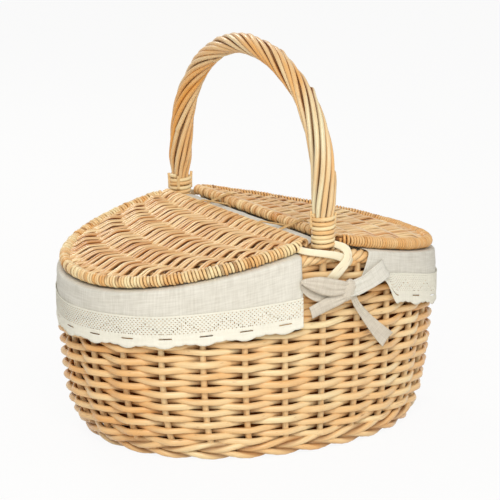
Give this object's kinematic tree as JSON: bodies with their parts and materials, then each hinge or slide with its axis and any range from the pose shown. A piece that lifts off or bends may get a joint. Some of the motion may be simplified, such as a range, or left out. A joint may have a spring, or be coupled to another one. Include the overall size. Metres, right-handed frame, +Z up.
{
  "type": "picnic basket",
  "caption": "Oval woven willow picnic basket with a fixed arched handle, two half lids hinged on a centre bridge, and a linen liner with lace flaps tied in bows at the handle feet.",
  "frame": {"origin": "centre of the footprint, on the surface that the base stands on", "axes": "+X along the basket towards the right lid, +Y towards the rear foot of the handle, +Z up"},
  "size_m": [0.412, 0.3188, 0.403],
  "materials": {
    "body_willow": "honey-tan round willow rods with a satin varnish",
    "handle_willow": "twisted willow rods with a satin varnish",
    "binding_willow": "pale split and round willow with a satin varnish",
    "lid_willow": "close woven honey-tan willow with a satin varnish",
    "linen": "plain woven undyed linen",
    "lace": "ivory cotton lace",
    "tie_cord": "off-white cotton cord"
  },
  "bodies": {
    "basket": {"base_weave": "body_willow", "base_slath": "body_willow", "upsett_wale": "body_willow", "side_weave": "body_willow", "side_stake_01": "body_willow", "side_stake_02": "body_willow", "side_stake_03": "body_willow", "side_stake_04": "body_willow", "side_stake_05": "body_willow", "side_stake_06": "body_willow", "side_stake_07": "body_willow", "side_stake_08": "body_willow", "side_stake_09": "body_willow", "side_stake_10": "body_willow", "side_stake_11": "body_willow", "side_stake_12": "body_willow", "side_stake_13": "body_willow", "side_stake_14": "body_willow", "side_stake_15": "body_willow", "side_stake_16": "body_willow", "side_stake_17": "body_willow", "side_stake_18": "body_willow", "side_stake_19": "body_willow", "side_stake_20": "body_willow", "side_stake_21": "body_willow", "side_stake_22": "body_willow", "side_stake_23": "body_willow", "side_stake_24": "body_willow", "rim_border": "body_willow", "bridge_bar": "body_willow", "bridge_cover": "linen", "handle_core": "handle_willow", "handle_roping": "handle_willow", "handle_lapping_front": "binding_willow", "handle_lapping_rear": "binding_willow", "cross_binding_front": "binding_willow", "cross_binding_rear": "binding_willow", "liner_bag": "linen", "flap_left": "linen", "flap_right": "linen", "lace_left": "lace", "lace_right": "lace", "front_tie_knot": "linen", "front_tie_left": "linen", "front_tie_right": "linen", "rear_tie_knot": "linen", "rear_tie_left": "linen", "rear_tie_right": "linen", "hinge_tie_left_1": "tie_cord", "hinge_tie_left_2": "tie_cord", "hinge_tie_right_1": "tie_cord", "hinge_tie_right_2": "tie_cord"},
    "lid_left": {"lid_left_frame": "lid_willow", "lid_left_weave": "lid_willow", "lid_left_binding": "lid_willow"},
    "lid_right": {"lid_right_frame": "lid_willow", "lid_right_weave": "lid_willow", "lid_right_binding": "lid_willow"}
  },
  "joints": [
    {"name": "lid_left_hinge", "type": "hinge", "parent": "basket", "child": "lid_left", "pos_m": [-0.0195, 0, 0.21356], "axis": [0, 1, 0], "range_deg": [0, 100]},
    {"name": "lid_right_hinge", "type": "hinge", "parent": "basket", "child": "lid_right", "pos_m": [0.0195, 0, 0.21356], "axis": [0, -1, 0], "range_deg": [0, 100]}
  ]
}
